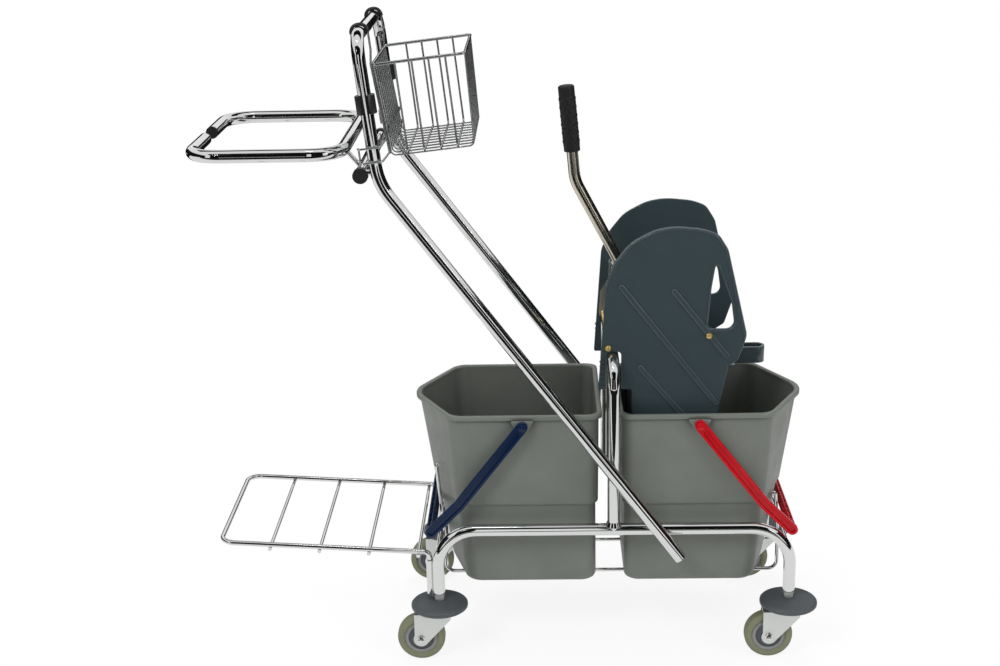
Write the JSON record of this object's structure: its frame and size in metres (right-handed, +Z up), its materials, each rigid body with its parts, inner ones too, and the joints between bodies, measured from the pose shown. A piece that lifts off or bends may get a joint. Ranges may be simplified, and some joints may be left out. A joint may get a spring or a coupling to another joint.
{
  "type": "double mop bucket trolley",
  "caption": "Double mop bucket trolley with a lever wringer, wire basket, bag ring, wire shelf and swivel casters.",
  "frame": {"origin": "on the floor, at the middle of the part's bounding box", "axes": "+X towards the wringer end, +Y away from the viewer, +Z up"},
  "size_m": [0.9376, 0.369, 0.9917],
  "materials": {
    "chrome": "bright plated tube and wire",
    "zinc": "zinc plated pressed steel",
    "brass": "plain brass",
    "grey_plastic": "fine matt moulding",
    "slate_plastic": "satin moulding",
    "blue_plastic": "semi-gloss moulding",
    "red_plastic": "semi-gloss moulding",
    "black_plastic": "satin moulding",
    "black_rubber": "matt soft grip",
    "bumper_rubber": "matt rubber",
    "hub_plastic": "satin moulding",
    "tread_rubber": "matt olive tread"
  },
  "bodies": {
    "base": {"frame": "chrome", "push_handle": "chrome", "wire_shelf": "chrome", "bag_ring": "chrome", "ring_plug_near": "black_plastic", "ring_plug_far": "black_plastic", "bearer_cap_near": "black_plastic", "bearer_cap_far": "black_plastic", "basket": "chrome", "sleeve_near": "black_plastic", "sleeve_far": "black_plastic", "clip_near": "black_plastic", "clip_far": "black_plastic", "bucket_left": "grey_plastic", "bucket_right": "grey_plastic", "wringer_plate_near": "slate_plastic", "wringer_plate_far": "slate_plastic", "trough_back": "slate_plastic", "trough_floor": "slate_plastic", "trough_front": "slate_plastic", "trough_lug": "slate_plastic", "lever_shaft": "brass", "stay_shaft": "brass", "stem_nl": "zinc", "bumper_nl": "bumper_rubber", "stem_nr": "zinc", "bumper_nr": "bumper_rubber", "stem_fl": "zinc", "bumper_fl": "bumper_rubber", "stem_fr": "zinc", "bumper_fr": "bumper_rubber"},
    "swivel_nl": {"fork_nl": "zinc", "axle_nl": "zinc"},
    "wheel_nl": {"hub_nl": "hub_plastic", "tread_nl": "tread_rubber"},
    "swivel_nr": {"fork_nr": "zinc", "axle_nr": "zinc"},
    "wheel_nr": {"hub_nr": "hub_plastic", "tread_nr": "tread_rubber"},
    "swivel_fl": {"fork_fl": "zinc", "axle_fl": "zinc"},
    "wheel_fl": {"hub_fl": "hub_plastic", "tread_fl": "tread_rubber"},
    "swivel_fr": {"fork_fr": "zinc", "axle_fr": "zinc"},
    "wheel_fr": {"hub_fr": "hub_plastic", "tread_fr": "tread_rubber"},
    "bail_left": {"bail_left": "blue_plastic"},
    "bail_right": {"bail_right": "red_plastic"},
    "lever": {"press_plate": "slate_plastic", "lever_yoke": "zinc", "lever_tube": "chrome", "lever_grip": "black_rubber"}
  },
  "joints": [
    {"name": "swivel_nl", "type": "hinge", "parent": "base", "child": "swivel_nl", "pos_m": [-0.12075, -0.14, 0.08], "axis": [0, 0, 1], "continuous": true},
    {"name": "wheel_nl", "type": "hinge", "parent": "swivel_nl", "child": "wheel_nl", "pos_m": [-0.15075, -0.14, 0.0375], "axis": [0, 1, 0], "continuous": true},
    {"name": "swivel_nr", "type": "hinge", "parent": "base", "child": "swivel_nr", "pos_m": [0.42425, -0.14, 0.08], "axis": [0, 0, 1], "continuous": true},
    {"name": "wheel_nr", "type": "hinge", "parent": "swivel_nr", "child": "wheel_nr", "pos_m": [0.39425, -0.14, 0.0375], "axis": [0, 1, 0], "continuous": true},
    {"name": "swivel_fl", "type": "hinge", "parent": "base", "child": "swivel_fl", "pos_m": [-0.12075, 0.14, 0.08], "axis": [0, 0, 1], "continuous": true},
    {"name": "wheel_fl", "type": "hinge", "parent": "swivel_fl", "child": "wheel_fl", "pos_m": [-0.15075, 0.14, 0.0375], "axis": [0, 1, 0], "continuous": true},
    {"name": "swivel_fr", "type": "hinge", "parent": "base", "child": "swivel_fr", "pos_m": [0.42425, 0.14, 0.08], "axis": [0, 0, 1], "continuous": true},
    {"name": "wheel_fr", "type": "hinge", "parent": "swivel_fr", "child": "wheel_fr", "pos_m": [0.39425, 0.14, 0.0375], "axis": [0, 1, 0], "continuous": true},
    {"name": "bail_left", "type": "hinge", "parent": "base", "child": "bail_left", "pos_m": [0.01275, 0, 0.385], "axis": [0, 1, 0], "range_deg": [0, 135]},
    {"name": "bail_right", "type": "hinge", "parent": "base", "child": "bail_right", "pos_m": [0.28275, 0, 0.385], "axis": [0, 1, 0], "range_deg": [-110, 0]},
    {"name": "lever", "type": "hinge", "parent": "base", "child": "lever", "pos_m": [0.14475, 0, 0.497], "axis": [0, 1, 0], "range_deg": [0, 75]}
  ]
}
